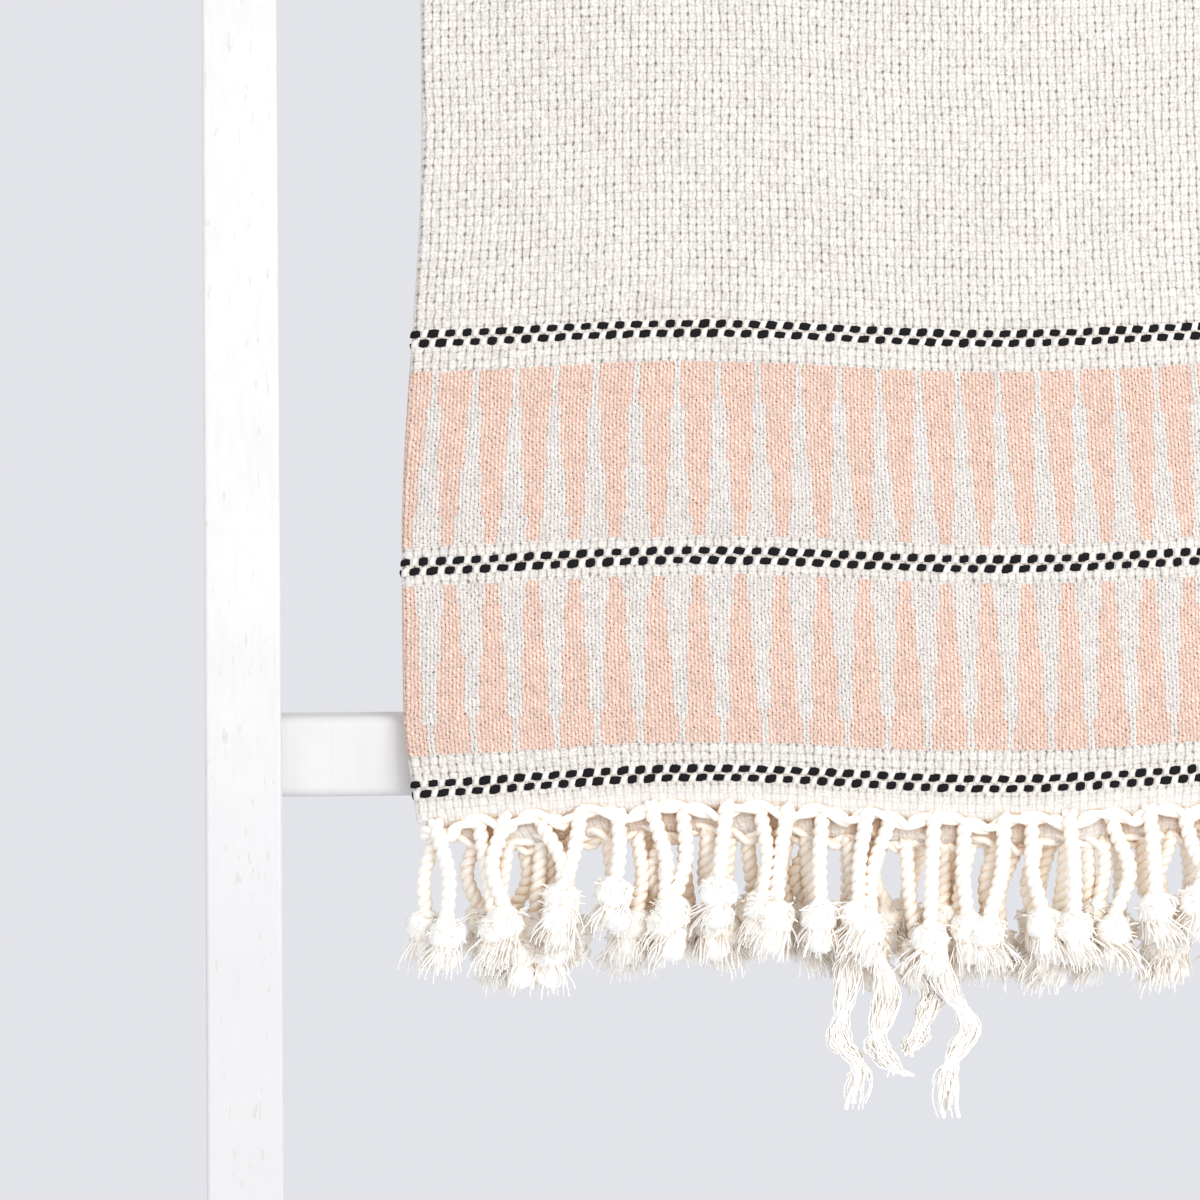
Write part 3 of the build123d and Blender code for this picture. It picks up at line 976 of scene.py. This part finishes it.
TWO_PLY = two_ply_recipe(CORD)
KNOTS = knot_recipe(CORD)
FRAYED = frayed_recipe(LOOSE)
YARNS = yarn_recipe(LOOSE)
LAYERS = {
    "outer": (STARTS[2], STARTS[3]),
    "left_flap": (STARTS[0], STARTS[1]),
    "right_flap": (STARTS[4], STARTS[5]),
}
ROW_SHIFTS = {"outer": 0.0, "left_flap": 0.3, "right_flap": -0.3}  # in steps from tassel to tassel
# How far each layer's knots swing out from its hem: to the room in front, to the ladder behind.
FRONT_LEAN = {"outer": -6.5 * MM, "left_flap": -1.0 * MM, "right_flap": 5.0 * MM}
BACK_LEAN = {"outer": -6.0 * MM, "left_flap": -8.0 * MM, "right_flap": -13.0 * MM}


def hem_cord(front):
    """The twined edge: it arches from one low point to the next between the tassels."""
    u = np.linspace(1 * MM, CLOTH_WIDTH - 1 * MM, 14 * SCALLOPS)
    uneven = u + 5 * MM * np.sin(2 * np.pi * u / 0.117)
    edge = 4.4 * MM * np.abs(np.sin(np.pi * SCALLOPS * uneven / CLOTH_WIDTH)) ** 0.8 - 2.8 * MM
    place, _, _, out = throw_frame(u, edge if front else CLOTH_LENGTH - edge)
    end = "front" if front else "back"
    source = curve_object("hem_line", [place + out * 0.9 * MM])
    return TWO_PLY.use(source, f"{end}_hem_twine", Ply=HEM_PLY, Pitch=HEM_TWIST_PITCH, Step=1.5 * MM)


def tassel_lines(front, layer, rng):
    """A hanging line for each tassel of one layer, and the places of their knots."""
    low, high = LAYERS[layer]
    pitch = (high - low) / TASSELS
    lean_out = (FRONT_LEAN if front else BACK_LEAN)[layer]
    lines, ends = [], []
    for number in range(TASSELS):
        u = low + pitch * (number + 0.5 + ROW_SHIFTS[layer]) + rng.normal(0, 1.6 * MM)
        u = min(max(u, 2 * MM), CLOTH_WIDTH - 2 * MM)
        over = number % 2 == 0
        climb = (3.2 if over else 0.6) * MM
        place, _, _, out = throw_frame(u, climb if front else CLOTH_LENGTH - climb)
        root = place + out * (2.2 if over else -0.2) * MM
        length = CORD_LENGTH * rng.uniform(*CORD_LENGTHS) + climb
        pull = (1 if number % 3 == 0 else -1 if number % 3 == 1 else 0) * rng.uniform(0.0, 7.0) * MM
        sway = np.array([pull + rng.normal(0, 3.2 * MM), lean_out + rng.normal(0, 1.3 * MM), -length])
        bow = np.array([rng.normal(0, 2.6 * MM), rng.normal(0, 1.0 * MM), 0.0])
        share = np.linspace(0, 1, 14)[:, None]
        line = root + sway * share + bow * np.sin(np.pi * share) ** 2
        lines.append(line)
        ends.append(line[-1] - [0, 0, KNOT_RADIUS * 0.35])
    return lines, np.array(ends)


def knot_shape():
    """An overhand knot, pulled up small, of the same two-ply cord."""
    turn = np.linspace(0, 2 * np.pi, 60, endpoint=False)
    grip = KNOT_RADIUS / 4.7
    line = np.stack([
        np.sin(turn) + 2 * np.sin(2 * turn),
        -1.25 * np.sin(3 * turn),
        np.cos(turn) - 2 * np.cos(2 * turn),
    ], -1) * grip
    source = curve_object("knot_line", [line], closed=True)
    return TWO_PLY.use(source, "knot_shape", Ply=KNOT_PLY, Pitch=KNOT_TWIST_PITCH, Step=1.4 * MM)


KNOT = knot_shape()


# Short fibres all round a knot, and the lump that they stand on.
FUZZ = {
    "Strands": 130, "Steps": 3, "Length": 3.6 * MM, "Spread": 1.9, "Thickness": 0.42 * MM, "Root": 5.4 * MM,
    "Core": 6.9 * MM, "Tall": 6.6 * MM, "Crimp": 0.3 * MM, "Tilt": 0.0, "Shortest": 0.8,
}


def fringe(front, layer, seed):
    """Cords, knots and frayed ends of one layer of one hem."""
    rng = np.random.default_rng(seed)
    lines, ends = tassel_lines(front, layer, rng)
    name = f"{'front' if front else 'back'}_fringe_{layer}"
    cords = TWO_PLY.use(curve_object("tassel_lines", lines), f"{name}_cords")
    knots = KNOTS.use(points_object("knot_places", ends), f"{name}_knots", Knot=KNOT, Seed=seed)
    tips = ends - [0, 0, KNOT_RADIUS * 0.7]
    limit = FAR if front else WALL_Y - 1 * MM
    tufts = FRAYED.use(points_object("tuft_places", tips), f"{name}_tufts", Limit=limit, Seed=seed + 40)
    crowns = ends + [0, 0, KNOT_RADIUS * 0.35]
    fuzz = FRAYED.use(points_object("fuzz_places", crowns), f"{name}_fuzz",
                      Limit=limit, Seed=seed + 80, **FUZZ)
    return [cords, knots, tufts, fuzz]


def loose_tails(name, strands, spread, thickness, seed):
    """A few long, crinkled bundles of yarn that slipped their knots."""
    rng = np.random.default_rng(seed)
    middle_u = STARTS[2] - LEFT_END
    share = np.linspace(0, 1, 34)
    lines = []
    for depth, turns in zip(TAIL_DEPTHS, TAILS):
        turns = np.array(turns) * MM
        places = np.linspace(0, 1, len(turns))
        root = throw_point(middle_u + turns[0, 0], 0.0)
        side = np.interp(share, places, turns[:, 0]) - turns[0, 0]
        side = np.convolve(np.pad(side, 3, "edge"), np.ones(7) / 7, "valid")
        down = np.interp(share, places, turns[:, 1])
        width = 2.6 * MM + 2.8 * MM * np.abs(np.sin(2.6 * np.pi * share + turns[-1, 1] * 90))
        width *= np.clip(7 * share, 0.2, 1)
        for _ in range(strands):
            around, out = rng.uniform(0, 2 * np.pi), spread * math.sqrt(rng.uniform(0, 1))
            turn = around + share * rng.normal(0, 1.6)
            crimp = 0.65 * MM * np.sin(2 * np.pi * (share * rng.uniform(3, 7) + rng.uniform(0, 1)))
            stray = rng.normal(0, 3.0 * MM) * np.clip(share - 0.75, 0, 1) * 4 * rng.uniform(0, 1) * spread
            line = np.stack([
                root[0] + side + width * out * np.cos(turn) + crimp + stray,
                root[1] + depth * MM + 0.5 * width * out * np.sin(turn) + 0.5 * crimp,
                root[2] - down,
            ], -1)
            lines.append(line[: rng.integers(25, 35)])
    return YARNS.use(curve_object("tail_lines", lines), name, Thickness=thickness)


# ============================================================================= building

cloth = throw_cloth()
trims = [woven_floats(front, white) for front in (True, False) for white in (False, True)]
hems = {end: hem_cord(end == "front") for end in ("front", "back")}
rows = {}
for place, end in enumerate(("front", "back")):
    for number, layer in enumerate(LAYERS):
        rows[f"{end}_fringe_{layer}"] = fringe(end == "front", layer, 100 + 10 * place + number)
tails = [
    loose_tails("front_loose_tails", 56, 1.0, 0.3 * MM, 61),
    loose_tails("front_tail_hearts", 11, 0.5, 0.95 * MM, 62),
]
bpy.data.objects.remove(KNOT)

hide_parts("throw_front_drop", "throw_saddle", "throw_back_drop")
for piece in (cloth, *trims):
    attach(piece, "throw")
for end, piece in hems.items():
    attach(piece, "throw")
    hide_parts(f"{end}_hem_cord")
for node, pieces in rows.items():
    for piece in pieces:
        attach(piece, "throw")
    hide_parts(node)
for piece in tails:
    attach(piece, "throw")

for name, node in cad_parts.items():
    material = ZINC if "screws" in name else RUBBER if name.endswith("_pad") else PAINT
    node.data.materials.clear()
    node.data.materials.append(material)


# ================================================================ floor, light and camera

LAMP_COLOUR = (1.0, 0.975, 0.94)
FLOOR_REACH = 14.0


def studio():
    """An even pale surround, and a floor that takes soft shadows near the feet and melts into it."""
    backdrop = linear(227, 228, 233)
    world = bpy.data.worlds.new("pale_studio")
    bpy.context.scene.world = world
    world.use_nodes = True
    world.node_tree.nodes["Background"].inputs["Color"].default_value = backdrop
    mesh = bpy.data.meshes.new("floor")
    corners = [(x * FLOOR_REACH, y * FLOOR_REACH, 0) for x, y in ((-1, -1), (1, -1), (1, 1), (-1, 1))]
    mesh.from_pydata(corners, [], [(0, 1, 2, 3)])
    floor = new_object("floor", mesh)
    made = Finish("pale_floor")
    away = made.vector("LENGTH", made.place(), out="Value")
    glow = made.node("ShaderNodeEmission", None, {"Color": backdrop, "Strength": 1.0})
    matte = made.node("ShaderNodeBsdfDiffuse", None, {"Color": linear(226, 227, 231)})
    both = made.node("ShaderNodeMixShader", None, {0: made.ramp(away, 0.35, 1.35), 1: matte, 2: glow})
    made.give(made.tree.nodes["Material Output"].inputs["Surface"], both)
    mesh.materials.append(made.material)


def area_light(name, place, target, width, power):
    """A soft square lamp that the camera doesn't see."""
    data = bpy.data.lights.new(name, "AREA")
    data.shape = "SQUARE"
    data.size = width
    data.energy = power
    data.color = LAMP_COLOUR
    light = new_object(name, data)
    light.visible_camera = False
    light.location = place
    light.rotation_euler = (Vector(target) - Vector(place)).to_track_quat("-Z", "Y").to_euler()


def camera():
    """Low in front of the second rung, a little to the left of the throw's middle."""
    data = bpy.data.cameras.new("camera")
    data.lens = 126.6
    data.sensor_width = 36.0
    made = new_object("camera", data)
    made.location = (-0.214, -1.6, 0.6634)
    made.rotation_euler = (math.radians(90 - 4.26), 0, math.radians(-4.56))
    bpy.context.scene.camera = made


studio()
area_light("key", (0.8, -1.5, 1.25), (0, 0, 0.8), 0.9, 16)
area_light("fill", (-1.4, -2.0, 0.9), (0, 0, 0.7), 1.6, 7)
area_light("low", (0.35, -2.0, 0.1), (0, 0, 0.55), 1.2, 8)
area_light("rear", (0.9, 2.0, 1.7), (0, 0, 0.8), 1.6, 13)
camera()
bpy.context.scene.view_settings.view_transform = "Standard"
